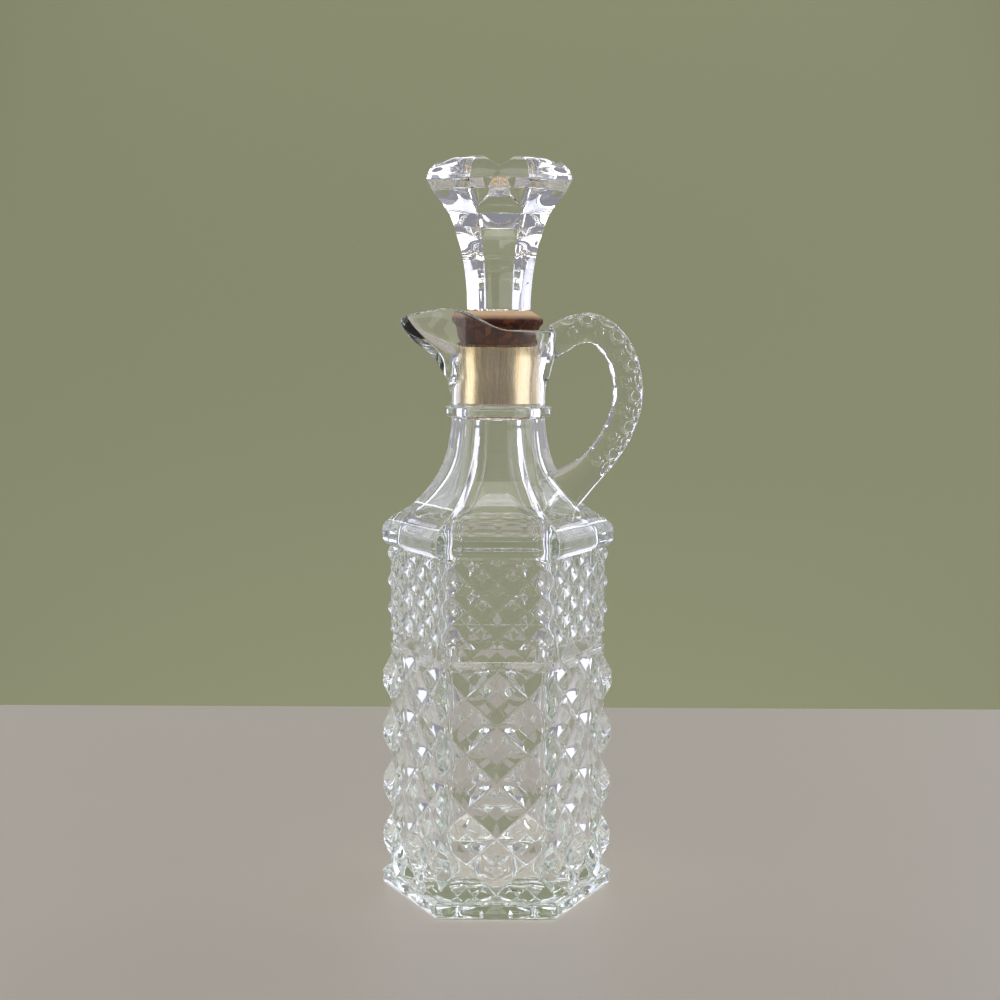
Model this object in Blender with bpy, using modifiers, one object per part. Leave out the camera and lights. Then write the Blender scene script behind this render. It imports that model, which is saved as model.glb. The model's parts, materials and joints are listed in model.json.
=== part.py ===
# A pressed glass cruet: a six-sided body with two bands of cut diamonds, a fluted neck with a
# pouring lip, a scalloped handle, and a glass stopper held by a cork above a thin metal sleeve.
# Metres, +Z up. The lip points along -X and the handle along +X, and flat faces look along -Y and +Y.
# The origin is on the table, under the middle of the body.

import math

import bmesh
import bpy
from mathutils import Matrix, Vector

MM = 0.001

# Driving sizes of the body, all in millimetres; a radius of a six-sided piece is that of its corners
SIDES = 6
BODY_RADIUS = 34.8
BODY_FLAT = BODY_RADIUS * math.cos(math.pi / SIDES)
CORE_RADIUS = 31.8
FOOT_TOP = 5.6
FOOT_RADIUS = 35.2
FOOT_CHAMFER = 2.0
LOWER_BAND_TOP = 75.9
UPPER_BAND_BOTTOM = 79.4
UPPER_BAND_TOP = 105.9
UPPER_BAND_RADIUS = 33.65
UPPER_BAND_FLAT = UPPER_BAND_RADIUS * math.cos(math.pi / SIDES)
SHOULDER_TOP = 111.9
SHOULDER_RADIUS = 34.8

# Diamonds: large ones are two to a face, small ones four to a face
LARGE_WIDTH = BODY_RADIUS / 2
LARGE_HEIGHT = 16.5
LARGE_FIRST_NODE = 7.4
LARGE_GROOVE_WIDTH = 8.6
LARGE_GROOVE_DEPTH = 2.2
SMALL_WIDTH = BODY_RADIUS / 4
SMALL_HEIGHT = 8.35
SMALL_FIRST_NODE = 82.35
SMALL_GROOVE_WIDTH = 5.9
SMALL_GROOVE_DEPTH = 1.35
CUTTER_RISE = 3.0
DEPTH_STEP = 0.02

# Star pressed in the underside
STAR_RAYS = 16
STAR_INNER = 3.5
STAR_OUTER = 23.0
STAR_WIDTH = 2.2
STAR_DEPTH = 1.0

# Neck ring, collar, lip and spout
RING_RADIUS = 15.85
RING_BOTTOM = 144.3
RING_TOP = 148.1
LIP_RADIUS = 17.4
RIM_HEIGHT = 170.0
SPOUT_RISE = 6.1
SPOUT_DIP = 2.2
SPOUT_REACH = 11.8
SPOUT_SHARPNESS = 6.0
SPOUT_PINCH = 0.38
LIP_COLUMNS = 48

# Inside: a six-sided hollow with round corners, a neck bore, and a wider bore for the sleeve
HOLLOW_FLAT = 23.4
HOLLOW_CORNER = 6.0
HOLLOW_FLOOR = 8.0
NECK_BORE = 10.3
SLEEVE_BORE = 12.6
SEAT_HEIGHT = 148.3
MOUTH_RADIUS = 15.3
CUTTER_TOP = 190.0

# Handle, in the plane Y = 0
HANDLE_THICKNESS = 8.9
HANDLE_WIDTH = 8.0
HANDLE_ROUTE = [
    (14.0, 165.7), (17.4, 167.6), (21.9, 170.0), (27.2, 170.8), (32.0, 168.4), (36.2, 162.8),
    (38.3, 155.0), (38.2, 148.3), (36.5, 142.2), (33.5, 136.4), (29.1, 130.6), (24.2, 126.0),
    (19.0, 121.9), (13.7, 118.0),
]
HANDLE_STEPS = 4
HANDLE_COLUMNS = 14
HANDLE_ROOT_SPREAD = 1.75
SCALLOP_PITCH = 8.6
SCALLOP_DEPTH = 1.0

# Stopper, cork and sleeve
GAP = 0.3
SLEEVE_RADIUS = 12.3
SLEEVE_WALL = 0.6
SLEEVE_TOP = 165.0
CORK_BOTTOM = 165.5
CORK_FLANGE_BOTTOM = 171.3
CORK_FLANGE_TOP = 173.8
CORK_TOP = 175.6
CORK_BORE = 8.7
STOPPER_SEAT = 175.9
PLUG_TOP_RADIUS = 8.4
PLUG_BOTTOM_RADIUS = 7.8
PLUG_BOTTOM = 150.5
STOPPER_COLUMNS = 48
PANEL_HOLLOW = 0.02
CROWN_HEIGHT = 219.2
NOTCH_DEPTH = 3.4
NOTCH_WIDTH = 9.2


def clear_scene():
    for item in list(bpy.data.objects):
        bpy.data.objects.remove(item, do_unlink=True)


def new_collection(name):
    group = bpy.data.collections.new(name)
    bpy.context.scene.collection.children.link(group)
    return group


def glass_material(name, tint):
    """Clear soda-lime glass with a faint tint."""
    material = bpy.data.materials.new(name)
    material.use_nodes = True
    shader = material.node_tree.nodes["Principled BSDF"]
    shader.inputs["Base Color"].default_value = (*tint, 1.0)
    shader.inputs["Roughness"].default_value = 0.02
    shader.inputs["IOR"].default_value = 1.52
    shader.inputs["Transmission Weight"].default_value = 1.0
    return material


def solid_material(name, colour, roughness, metallic):
    material = bpy.data.materials.new(name)
    material.use_nodes = True
    shader = material.node_tree.nodes["Principled BSDF"]
    shader.inputs["Base Color"].default_value = (*colour, 1.0)
    shader.inputs["Roughness"].default_value = roughness
    shader.inputs["Metallic"].default_value = metallic
    return material


def object_from_bmesh(name, shape, group):
    """A new object from a bmesh in millimetres, with its faces turned outwards."""
    bmesh.ops.recalc_face_normals(shape, faces=shape.faces[:])
    bmesh.ops.scale(shape, vec=(MM, MM, MM), verts=shape.verts[:])
    mesh = bpy.data.meshes.new(name)
    shape.to_mesh(mesh)
    shape.free()
    item = bpy.data.objects.new(name, mesh)
    group.objects.link(item)
    return item


def apply_modifiers(item):
    """Replaces an object's mesh by its evaluated one."""
    bpy.context.view_layer.update()
    evaluated = item.evaluated_get(bpy.context.evaluated_depsgraph_get())
    mesh = bpy.data.meshes.new_from_object(evaluated)
    item.modifiers.clear()
    item.data = mesh


def turned(name, profile, steps, group):
    """A solid turned from a profile of (radius, height) that runs from the top down."""
    mesh = bpy.data.meshes.new(name)
    points = [(radius * MM, 0.0, height * MM) for radius, height in profile]
    mesh.from_pydata(points, [(i, i + 1) for i in range(len(points) - 1)], [])
    item = bpy.data.objects.new(name, mesh)
    group.objects.link(item)
    screw = item.modifiers.new("turn", "SCREW")
    screw.axis = "Z"
    screw.steps = screw.render_steps = steps
    screw.use_merge_vertices = True
    screw.merge_threshold = 0.00001
    apply_modifiers(item)
    return item


def loft(name, rings, group):
    """A closed solid through rings of equally many points, with a fan of faces at each end."""
    shape = bmesh.new()
    rows = [[shape.verts.new(point) for point in ring] for ring in rings]
    count = len(rings[0])
    for low, high in zip(rows, rows[1:]):
        for i in range(count):
            j = (i + 1) % count
            shape.faces.new((low[i], low[j], high[j], high[i]))
    for ring, row in ((rings[0], rows[0]), (rings[-1], rows[-1])):
        middle = shape.verts.new(sum((Vector(point) for point in ring), Vector()) / count)
        for i in range(count):
            shape.faces.new((row[i], row[(i + 1) % count], middle))
    return object_from_bmesh(name, shape, group)


def boolean(item, operation, group, solver="MANIFOLD"):
    """Cuts or joins an object with a whole collection, then removes the collection."""
    step = item.modifiers.new(operation.lower(), "BOOLEAN")
    step.operation = operation
    step.solver = solver
    step.operand_type = "COLLECTION"
    step.collection = group
    apply_modifiers(item)
    for used in list(group.objects):
        bpy.data.objects.remove(used, do_unlink=True)
    bpy.data.collections.remove(group)


def hide_cutter(item):
    item.hide_render = True
    item.display_type = "WIRE"


def groove_cutter(middle, along, inward, width, depth, length, group):
    """A three-sided bar whose lower edge lies `depth` under the point `middle` of a surface."""
    height = depth + CUTTER_RISE
    half_width = width / 2 * height / depth
    shape = bmesh.new()
    bmesh.ops.create_cone(
        shape, cap_ends=True, segments=3, radius1=1.0, radius2=1.0, depth=length
    )
    triangle_height = 1.5
    triangle_half_width = math.sin(math.radians(60))
    scale = Matrix.Diagonal((half_width / triangle_half_width, height / triangle_height, 1, 1))
    across = inward.cross(along)
    turn = Matrix((across, inward, along)).transposed().to_4x4()
    centre = middle + inward * (depth - height / triangle_height)
    bmesh.ops.transform(shape, matrix=Matrix.Translation(centre) @ turn @ scale, verts=shape.verts[:])
    hide_cutter(object_from_bmesh("groove", shape, group))


def diamond_grooves(flat, width, height, first_node, bottom, top, groove_width, groove_depth, group):
    """Crossing V grooves over all six faces; they meet at each corner and at each face's middle.

    Crossing grooves differ in depth by a hair, so that their bottoms cross and don't just touch.
    """
    reach = BODY_RADIUS / 2
    rise = reach / width * height
    lowest = math.floor((bottom - rise - first_node) / height)
    highest = math.ceil((top + rise - first_node) / height)
    for face in range(SIDES):
        angle = math.radians(60 * face + 30)
        outward = Vector((math.cos(angle), math.sin(angle), 0))
        sideways = Vector((-math.sin(angle), math.cos(angle), 0))
        for direction in (1, -1):
            along = (sideways * width + Vector((0, 0, height * direction))).normalized()
            length = 2 * math.hypot(reach, rise) + 12.0
            depth = groove_depth - DEPTH_STEP * ((direction < 0) + 2 * (face % 2))
            for step in range(lowest, highest + 1):
                middle = outward * flat + Vector((0, 0, first_node + step * height))
                groove_cutter(middle, along, -outward, groove_width, depth, length, group)


def make_lower_band(group):
    profile = [
        (0.0, LOWER_BAND_TOP + 0.8), (CORE_RADIUS - 0.8, LOWER_BAND_TOP + 0.8),
        (33.4, LOWER_BAND_TOP), (34.4, LOWER_BAND_TOP - 1.6), (BODY_RADIUS, LOWER_BAND_TOP - 4.2),
        (BODY_RADIUS, FOOT_TOP - 1.5), (0.0, FOOT_TOP - 1.5),
    ]
    band = turned("lower_band", profile, SIDES, group)
    cutters = new_collection("large_grooves")
    diamond_grooves(
        BODY_FLAT, LARGE_WIDTH, LARGE_HEIGHT, LARGE_FIRST_NODE, FOOT_TOP, LOWER_BAND_TOP,
        LARGE_GROOVE_WIDTH, LARGE_GROOVE_DEPTH, cutters,
    )
    boolean(band, "DIFFERENCE", cutters)


def make_upper_band(group):
    profile = [
        (0.0, UPPER_BAND_TOP), (UPPER_BAND_RADIUS, UPPER_BAND_TOP),
        (UPPER_BAND_RADIUS, UPPER_BAND_BOTTOM + 0.9), (33.0, UPPER_BAND_BOTTOM),
        (CORE_RADIUS - 0.8, UPPER_BAND_BOTTOM - 0.9), (0.0, UPPER_BAND_BOTTOM - 0.9),
    ]
    band = turned("upper_band", profile, SIDES, group)
    cutters = new_collection("small_grooves")
    diamond_grooves(
        UPPER_BAND_FLAT, SMALL_WIDTH, SMALL_HEIGHT, SMALL_FIRST_NODE, UPPER_BAND_BOTTOM,
        UPPER_BAND_TOP, SMALL_GROOVE_WIDTH, SMALL_GROOVE_DEPTH, cutters,
    )
    boolean(band, "DIFFERENCE", cutters)


def make_foot(group):
    profile = [
        (0.0, FOOT_TOP), (34.3, FOOT_TOP), (FOOT_RADIUS, FOOT_TOP - 0.8),
        (FOOT_RADIUS, FOOT_CHAMFER), (34.6, 0.8), (33.6, 0.0), (0.0, 0.0),
    ]
    turned("foot", profile, SIDES, group)


def make_core(group):
    """The plain six-sided stem of the body, its shoulder rim and the sweep up to the neck."""
    profile = [
        (0.0, RING_TOP - 1.0), (14.2, RING_TOP - 1.0), (14.2, 143.3), (14.4, 141.4), (14.9, 137.6),
        (15.65, 133.9), (16.9, 130.2), (18.8, 126.4), (21.6, 122.6), (24.9, 119.0), (28.3, 116.5),
        (31.5, 114.7), (33.6, SHOULDER_TOP + 1.1), (34.4, SHOULDER_TOP), (SHOULDER_RADIUS, 110.9),
        (SHOULDER_RADIUS, 107.6), (34.2, 106.4), (CORE_RADIUS, 105.4), (CORE_RADIUS, 2.5),
        (0.0, 2.5),
    ]
    return turned("cruet", profile, SIDES, group)


def make_ring(group):
    bead = [
        (12.8, RING_TOP), (RING_RADIUS - 0.9, RING_TOP), (RING_RADIUS, RING_TOP - 0.9),
        (RING_RADIUS, RING_BOTTOM + 1.1), (RING_RADIUS - 0.9, RING_BOTTOM), (12.8, RING_BOTTOM - 0.4),
    ]
    turned("ring", [(0.0, RING_TOP), *bead, (0.0, RING_BOTTOM - 0.4)], LIP_COLUMNS, group)


def ease(value, start, end):
    """Runs smoothly from 0 at start to 1 at end."""
    part = min(1.0, max(0.0, (value - start) / (end - start)))
    return part * part * (3 - 2 * part)


def spout_point(angle, radius, height, pull, lift, fall):
    """A point of the lip: a circle drawn out towards -X, raised beside the spout, lower at its tip."""
    share = max(0.0, -math.cos(angle)) ** SPOUT_SHARPNESS
    pinch = SPOUT_PINCH * share * pull / SPOUT_REACH
    turn = abs(math.degrees(math.atan2(math.sin(angle), math.cos(angle))))
    up = lift * ease(turn, 78, 138) - fall * ease(turn, 142, 180)
    return (
        radius * math.cos(angle) - pull * share,
        radius * math.sin(angle) * (1 - pinch),
        height + up,
    )


def lip_ring(radius, height, pull=0.0, lift=0.0, fall=0.0):
    turns = (2 * math.pi * i / LIP_COLUMNS for i in range(LIP_COLUMNS))
    return [spout_point(turn, radius, height, pull, lift, fall) for turn in turns]


def make_collar(group):
    """The round collar above the ring, opening into the lip and drawn out into the spout."""
    rings = [
        lip_ring(13.9, RING_TOP - 2.0),
        lip_ring(14.5, RING_TOP + 0.3),
        lip_ring(14.5, 151.6),
        lip_ring(14.9, 155.2, 0.4),
        lip_ring(15.65, 158.0, 1.4),
        lip_ring(16.4, 160.9, 2.7, 0.6),
        lip_ring(16.8, 163.1, 4.2, 1.2, 0.9),
        lip_ring(17.0, 165.1, 7.1, 2.7, 2.1),
        lip_ring(17.2, 167.1, 9.4, 4.2, 3.4),
        lip_ring(LIP_RADIUS, 168.6, 11.2, 5.3, 3.3),
        lip_ring(LIP_RADIUS, 169.5, SPOUT_REACH, SPOUT_RISE, SPOUT_DIP + 0.5),
        lip_ring(16.8, RIM_HEIGHT, 11.2, SPOUT_RISE, SPOUT_DIP),
        lip_ring(15.9, RIM_HEIGHT, 10.0, SPOUT_RISE, SPOUT_DIP + 0.4),
        lip_ring(14.5, RIM_HEIGHT - 0.4, 7.7, SPOUT_RISE - 1.0, SPOUT_DIP + 1.5),
        lip_ring(7.7, RIM_HEIGHT - 1.5, 2.9, 2.0, 1.0),
    ]
    loft("collar", rings, group)


def handle_curve(knot):
    """A point of the handle's middle line, on a smooth curve through its named points."""
    last = len(HANDLE_ROUTE) - 1
    index = min(int(knot), last - 1)
    part = knot - index
    a, b, c, d = (
        Vector(HANDLE_ROUTE[min(max(index + i, 0), last)]) for i in (-1, 0, 1, 2)
    )
    return 0.5 * (
        2 * b + (c - a) * part + (2 * a - 5 * b + 4 * c - d) * part ** 2
        + (3 * b - a - 3 * c + d) * part ** 3
    )


def handle_section(centre, outward, travelled, spread, scallop):
    """One ring round the handle: flat-sided and round on the inside, notched on both outer corners."""
    ring = []
    for i in range(HANDLE_COLUMNS):
        turn = 2 * math.pi * i / HANDLE_COLUMNS
        across, sideways = math.cos(turn), math.sin(turn)
        round_off = (abs(across) ** 2.6 + abs(sideways) ** 2.6) ** (-1 / 2.6)
        corner = math.exp(-((abs(math.degrees(math.remainder(turn, 2 * math.pi))) - 50) / 24) ** 2)
        wave = 0.5 + 0.5 * math.cos(2 * math.pi * travelled / SCALLOP_PITCH)
        size = round_off * (1 - corner * wave * scallop * SCALLOP_DEPTH / (HANDLE_WIDTH / 2))
        reach = across * HANDLE_THICKNESS / 2 * spread * size
        ring.append((
            centre.x + outward.x * reach,
            sideways * HANDLE_WIDTH / 2 * (1 + (spread - 1) * 0.4) * size,
            centre.y + outward.y * reach,
        ))
    return ring


def make_handle(group):
    rings = []
    travelled = 0.0
    knots = (len(HANDLE_ROUTE) - 1) * HANDLE_STEPS
    before = handle_curve(0.0)
    for step in range(knots + 1):
        knot = step / HANDLE_STEPS
        centre = handle_curve(knot)
        travelled += (centre - before).length
        before = centre
        ahead = handle_curve(min(knot + 0.05, len(HANDLE_ROUTE) - 1))
        behind = handle_curve(max(knot - 0.05, 0.0))
        forward = (ahead - behind).normalized()
        outward = Vector((-forward.y, forward.x))
        root = ease(knot, 10.0, 13.0)
        top = 1 - ease(knot, 0.0, 2.5)
        spread = 1 + (HANDLE_ROOT_SPREAD - 1) * root + 0.12 * top
        rings.append(handle_section(centre, outward, travelled, spread, (1 - root) * (1 - top)))
    loft("handle", rings, group)


def rounded_hexagon(flat, corner, height, columns=LIP_COLUMNS):
    """A six-sided ring with round corners; the corners look along +X and every 60 degrees."""
    ring = []
    corner = min(corner, flat)
    centre = (flat - corner) / math.cos(math.pi / SIDES)
    rounded = math.atan2(
        corner * math.sin(math.pi / SIDES), centre + corner * math.cos(math.pi / SIDES)
    )
    for i in range(columns):
        angle = 2 * math.pi * i / columns
        near = abs(math.remainder(angle, math.pi / 3))
        if near < rounded:
            radius = centre * math.cos(near) + math.sqrt(corner ** 2 - (centre * math.sin(near)) ** 2)
        else:
            radius = flat / math.cos(math.pi / SIDES - near)
        ring.append((radius * math.cos(angle), radius * math.sin(angle), height))
    return ring


def hollow_rings():
    """Rings of the inside, from the floor of the body up through the neck to above the mouth."""
    floor = [
        rounded_hexagon(HOLLOW_FLAT - 9.0, HOLLOW_CORNER, HOLLOW_FLOOR),
        rounded_hexagon(HOLLOW_FLAT - 4.0, HOLLOW_CORNER, HOLLOW_FLOOR + 1.2),
        rounded_hexagon(HOLLOW_FLAT - 1.3, HOLLOW_CORNER, HOLLOW_FLOOR + 3.9),
        rounded_hexagon(HOLLOW_FLAT, HOLLOW_CORNER, HOLLOW_FLOOR + 8.5),
    ]
    shoulder = [
        rounded_hexagon(flat, corner, height)
        for flat, corner, height in (
            (HOLLOW_FLAT, HOLLOW_CORNER, 97.5), (HOLLOW_FLAT - 0.9, 7.0, 103.0),
            (HOLLOW_FLAT - 3.2, 8.0, 108.0), (HOLLOW_FLAT - 6.4, 9.0, 112.4),
            (HOLLOW_FLAT - 9.2, 10.0, 116.0), (HOLLOW_FLAT - 11.4, 11.0, 119.6),
        )
    ]
    neck = [
        lip_ring(10.9, 124.0), lip_ring(NECK_BORE, 131.0), lip_ring(NECK_BORE, SEAT_HEIGHT),
        lip_ring(SLEEVE_BORE, SEAT_HEIGHT), lip_ring(SLEEVE_BORE, 161.3),
        lip_ring(12.95, 163.4, 0.9, 0.3), lip_ring(13.4, 164.9, 2.3, 0.9, 0.4),
        lip_ring(13.9, 166.5, 4.3, 1.9, 1.2), lip_ring(14.4, 167.8, 6.3, 3.4, 2.1),
        lip_ring(14.9, 169.0, 8.3, 4.8, 2.4), lip_ring(MOUTH_RADIUS, RIM_HEIGHT, 10.1, 5.6, 2.1),
    ]
    mouth = [(x, y, CUTTER_TOP) for x, y, _ in neck[-1]]
    return [*floor, *shoulder, *neck, mouth]


def make_star(group):
    for ray in range(STAR_RAYS):
        angle = 2 * math.pi * (ray + 0.5) / STAR_RAYS
        along = Vector((math.cos(angle), math.sin(angle), 0))
        middle = along * (STAR_INNER + STAR_OUTER) / 2
        groove_cutter(
            middle, along, Vector((0, 0, 1)), STAR_WIDTH, STAR_DEPTH, STAR_OUTER - STAR_INNER, group
        )


def tidy_mesh(item, nearest):
    """Merges points left closer than a tiny distance in metres and drops faces with no area."""
    shape = bmesh.new()
    shape.from_mesh(item.data)
    bmesh.ops.remove_doubles(shape, verts=shape.verts[:], dist=nearest)
    bmesh.ops.dissolve_degenerate(shape, edges=shape.edges[:], dist=nearest)
    bmesh.ops.triangulate(shape, faces=shape.faces[:])
    shape.to_mesh(item.data)
    shape.free()


def make_cruet(group):
    body = make_core(group)
    pieces = new_collection("cruet_pieces")
    make_foot(pieces)
    make_lower_band(pieces)
    make_upper_band(pieces)
    make_ring(pieces)
    make_collar(pieces)
    make_handle(pieces)
    boolean(body, "UNION", pieces)
    cutters = new_collection("hollow_cutters")
    hide_cutter(loft("hollow", hollow_rings(), cutters))
    make_star(cutters)
    boolean(body, "DIFFERENCE", cutters)
    tidy_mesh(body, 0.00001)
    body.data.materials.append(glass_material("pressed_glass", (0.93, 0.95, 0.93)))


def stopper_ring(flat, height):
    """A six-sided ring with faintly hollow panels, whose corners look towards 30 degrees and on.

    Over the crown, V notches run straight from corner to corner and leave six lobes.
    """
    ring = []
    for i in range(STOPPER_COLUMNS):
        angle = 2 * math.pi * i / STOPPER_COLUMNS
        near = abs(math.remainder(angle, math.pi / 3))
        hollow = 0.5 + 0.5 * math.cos(SIDES * near)
        radius = flat / math.cos(near) * (1 - PANEL_HOLLOW * hollow)
        away = radius * math.sin(math.pi / SIDES - near)
        notch = CROWN_HEIGHT - NOTCH_DEPTH * (1 - away / (NOTCH_WIDTH / 2))
        ring.append((radius * math.cos(angle), radius * math.sin(angle), min(height, notch)))
    return ring


def plug_ring(radius, height):
    turns = (2 * math.pi * i / STOPPER_COLUMNS for i in range(STOPPER_COLUMNS))
    return [(radius * math.cos(turn), radius * math.sin(turn), height) for turn in turns]


def make_stopper(group):
    plug = [
        plug_ring(PLUG_BOTTOM_RADIUS - 1.4, PLUG_BOTTOM),
        plug_ring(PLUG_BOTTOM_RADIUS, PLUG_BOTTOM + 1.4),
        plug_ring(PLUG_TOP_RADIUS, STOPPER_SEAT - 0.2),
    ]
    stem = [
        stopper_ring(flat, height)
        for flat, height in (
            (9.3, STOPPER_SEAT), (9.35, 179.0), (9.6, 183.0), (10.1, 187.4), (11.0, 192.6),
            (12.2, 196.6), (13.1, 199.8), (14.5, 203.3), (20.5, 211.9),
        )
    ]
    crown = [
        stopper_ring(flat, height)
        for flat, height in (
            (20.8, 212.9), (20.5, 214.2), (19.6, 216.3), (18.2, 218.2), (16.6, CROWN_HEIGHT),
            (12.2, CROWN_HEIGHT), (8.4, CROWN_HEIGHT), (3.0, CROWN_HEIGHT),
        )
    ]
    item = loft("stopper", [*plug, *stem, *crown], group)
    item.data.materials.append(glass_material("stopper_glass", (0.94, 0.94, 0.95)))


def make_cork(group):
    profile = [
        (CORK_BORE, CORK_TOP), (9.5, CORK_TOP), (12.4, CORK_FLANGE_TOP), (13.2, 173.0),
        (13.1, 171.9), (12.4, CORK_FLANGE_BOTTOM), (11.95, 170.5), (11.6, 167.5),
        (11.3, CORK_BOTTOM + 0.3), (10.9, CORK_BOTTOM), (CORK_BORE, CORK_BOTTOM),
        (CORK_BORE, CORK_TOP),
    ]
    cork = turned("cork", profile, LIP_COLUMNS, group)
    tidy_mesh(cork, 0.00001)
    cork.data.materials.append(solid_material("cork_bark", (0.13, 0.055, 0.022), 0.8, 0.0))


def make_sleeve(group):
    bottom = SEAT_HEIGHT + GAP
    inner = SLEEVE_RADIUS - SLEEVE_WALL
    profile = [
        (inner, SLEEVE_TOP), (SLEEVE_RADIUS - 0.15, SLEEVE_TOP), (SLEEVE_RADIUS, SLEEVE_TOP - 0.2),
        (SLEEVE_RADIUS, bottom), (inner, bottom), (inner, SLEEVE_TOP),
    ]
    sleeve = turned("sleeve", profile, LIP_COLUMNS, group)
    tidy_mesh(sleeve, 0.00001)
    sleeve.data.materials.append(solid_material("satin_metal", (0.72, 0.58, 0.38), 0.35, 1.0))


def make_object():
    clear_scene()
    group = new_collection("glass_cruet")
    make_cruet(group)
    make_stopper(group)
    make_cork(group)
    make_sleeve(group)


make_object()
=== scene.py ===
# Looks of the pressed glass cruet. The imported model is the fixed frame, and each piece here stands
# for one of its nodes: the glass body with its handle, the glass stopper, the cork and the sleeve.

import json
import math

import bmesh
import bpy
from mathutils import Matrix, Vector

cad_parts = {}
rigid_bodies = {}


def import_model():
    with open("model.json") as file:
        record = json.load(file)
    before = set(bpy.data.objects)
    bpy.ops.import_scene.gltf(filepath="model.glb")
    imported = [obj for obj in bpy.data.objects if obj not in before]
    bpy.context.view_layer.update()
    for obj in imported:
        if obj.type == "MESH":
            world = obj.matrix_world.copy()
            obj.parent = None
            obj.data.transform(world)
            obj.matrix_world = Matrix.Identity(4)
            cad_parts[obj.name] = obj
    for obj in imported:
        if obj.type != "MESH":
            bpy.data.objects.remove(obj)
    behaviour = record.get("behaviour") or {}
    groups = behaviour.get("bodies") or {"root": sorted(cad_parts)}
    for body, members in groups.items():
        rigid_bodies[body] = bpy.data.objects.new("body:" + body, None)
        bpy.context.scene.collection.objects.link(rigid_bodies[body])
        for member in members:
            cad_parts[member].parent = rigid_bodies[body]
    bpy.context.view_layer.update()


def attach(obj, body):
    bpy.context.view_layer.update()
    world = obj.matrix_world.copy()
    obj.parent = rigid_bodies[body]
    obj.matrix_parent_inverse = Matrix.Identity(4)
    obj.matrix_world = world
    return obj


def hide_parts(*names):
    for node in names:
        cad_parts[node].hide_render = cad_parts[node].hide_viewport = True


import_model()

MM = 0.001

# Sizes in millimetres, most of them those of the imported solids. A radius of a six-sided piece is
# that of its corners. The numbers of a band are lengths, but its edges and steps are lists of places.
SIDES = 6
SLOPE = math.cos(math.pi / SIDES)
BODY_RADIUS = 34.8
CORE_RADIUS = 31.8
FOOT_TOP = 5.6
LOWER_BAND = {
    "radius": BODY_RADIUS, "bottom": FOOT_TOP - 1.5, "top": 75.9, "width": BODY_RADIUS / 2,
    "height": 16.5, "first": 7.4, "groove": 8.6, "depth": 2.2, "round": 0.2, "soft": 0.1,
    "steps": (0.0, 0.12, 0.3, 0.65, 2.2, 4.05, 4.3, 4.6), "edges": (0.0, 0.25, 0.6, 1.1, 1.8, 2.8, 4.2),
    "inset": 2.9, "edge": 3.6, "at_bottom": False,
}
UPPER_BAND = {
    "radius": 33.65, "bottom": 79.3, "top": 105.9, "width": BODY_RADIUS / 4,
    "height": 8.35, "first": 82.35, "groove": 5.9, "depth": 1.35, "round": 0.2, "soft": 0.07,
    "steps": (0.0, 0.15, 0.5, 1.5, 2.7, 2.95), "edges": (0.0, 0.2, 0.5, 0.9, 1.4, 2.0),
    "inset": 2.2, "edge": 1.3, "at_bottom": True,
}
SHOULDER_TOP = 111.9
RING_RADIUS = 15.85
RING_BOTTOM = 144.3
RING_TOP = 148.1
LIP_RADIUS = 17.4
RIM_HEIGHT = 170.0
SPOUT_RISE = 6.1
SPOUT_DIP = 2.2
SPOUT_REACH = 11.8
SPOUT_SHARPNESS = 6.0
SPOUT_PINCH = 0.38
HOLLOW_FLAT = 23.4
HOLLOW_CORNER = 6.0
HOLLOW_FLOOR = 8.0
NECK_BORE = 10.3
SLEEVE_BORE = 12.6
SEAT_HEIGHT = 148.3
MOUTH_RADIUS = 15.3
CUTTER_TOP = 190.0
STAR_RAYS = 16
RAY_START = 3.5
RAY_END = 23.0
RAY_HALF_WIDTH = 1.3
RAY_BOTTOM = -0.6
RAY_RIDGE = 1.0
FOOT_CORNER = 0.8
HANDLE_THICKNESS = 8.88
HANDLE_WIDTH = 8.0
HANDLE_SQUARENESS = 2.8
HANDLE_ROUTE = [
    (14.0, 165.7), (17.4, 167.6), (21.9, 170.0), (27.2, 170.8), (32.0, 168.4), (36.2, 162.8),
    (38.3, 155.0), (38.2, 148.3), (36.5, 142.2), (33.5, 136.4), (29.1, 130.6), (24.2, 126.0),
    (19.0, 121.9), (13.7, 118.0),
]
HANDLE_ROOT_SPREAD = 1.75
HANDLE_TOP_SPREAD = 0.12
PRINT_PITCH = 8.6
PRINTED_PART = (1.6, 10.4)  # counted in points of the route
PRINT_ROWS = (
    {"first": 0.4, "radius": 5.4, "depth": 1.25, "out": 3.75, "aside": 3.3, "lean": 0.72},
    {"first": 4.7, "radius": 4.2, "depth": 1.0, "out": 1.7, "aside": 3.95, "lean": 0.3},
    {"first": 0.4, "radius": 3.6, "depth": 0.6, "out": -0.6, "aside": 4.0, "lean": 0.0},
)
SLEEVE_RADIUS = 12.3
SLEEVE_WALL = 0.6
SLEEVE_BOTTOM = 148.6
SLEEVE_TOP = 165.0
CORK_BORE = 8.7
CORK_BOTTOM = 165.5
CORK_TOP = 175.6
STOPPER_SEAT = 175.9
CROWN_HEIGHT = 219.2
NOTCH_DEPTH = 3.4
NOTCH_WIDTH = 9.2
NOTCH_ROUND = 0.2
NOTCH_SOFT = 0.12
STOPPER_CORNER = 0.35
CORNER_SPREAD = 1.2  # in lengths of the corner's rounding
CORNER_CUT = 0.16  # as a share of the corner's rounding
PANEL_HOLLOW = 0.02  # as a share of the panel's distance

# How finely things are divided, and from how many degrees an edge stays sharp
BEND_STEPS = 4
SWEEP_STEPS = 3
STOPPER_STEPS = 4
HANDLE_COLUMNS = 40
HANDLE_STEPS = 12
TRAVEL_STEPS = 60
TURNED_COLUMNS = 120
GLASS_EDGE = 28
TURNED_EDGE = 50

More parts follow.
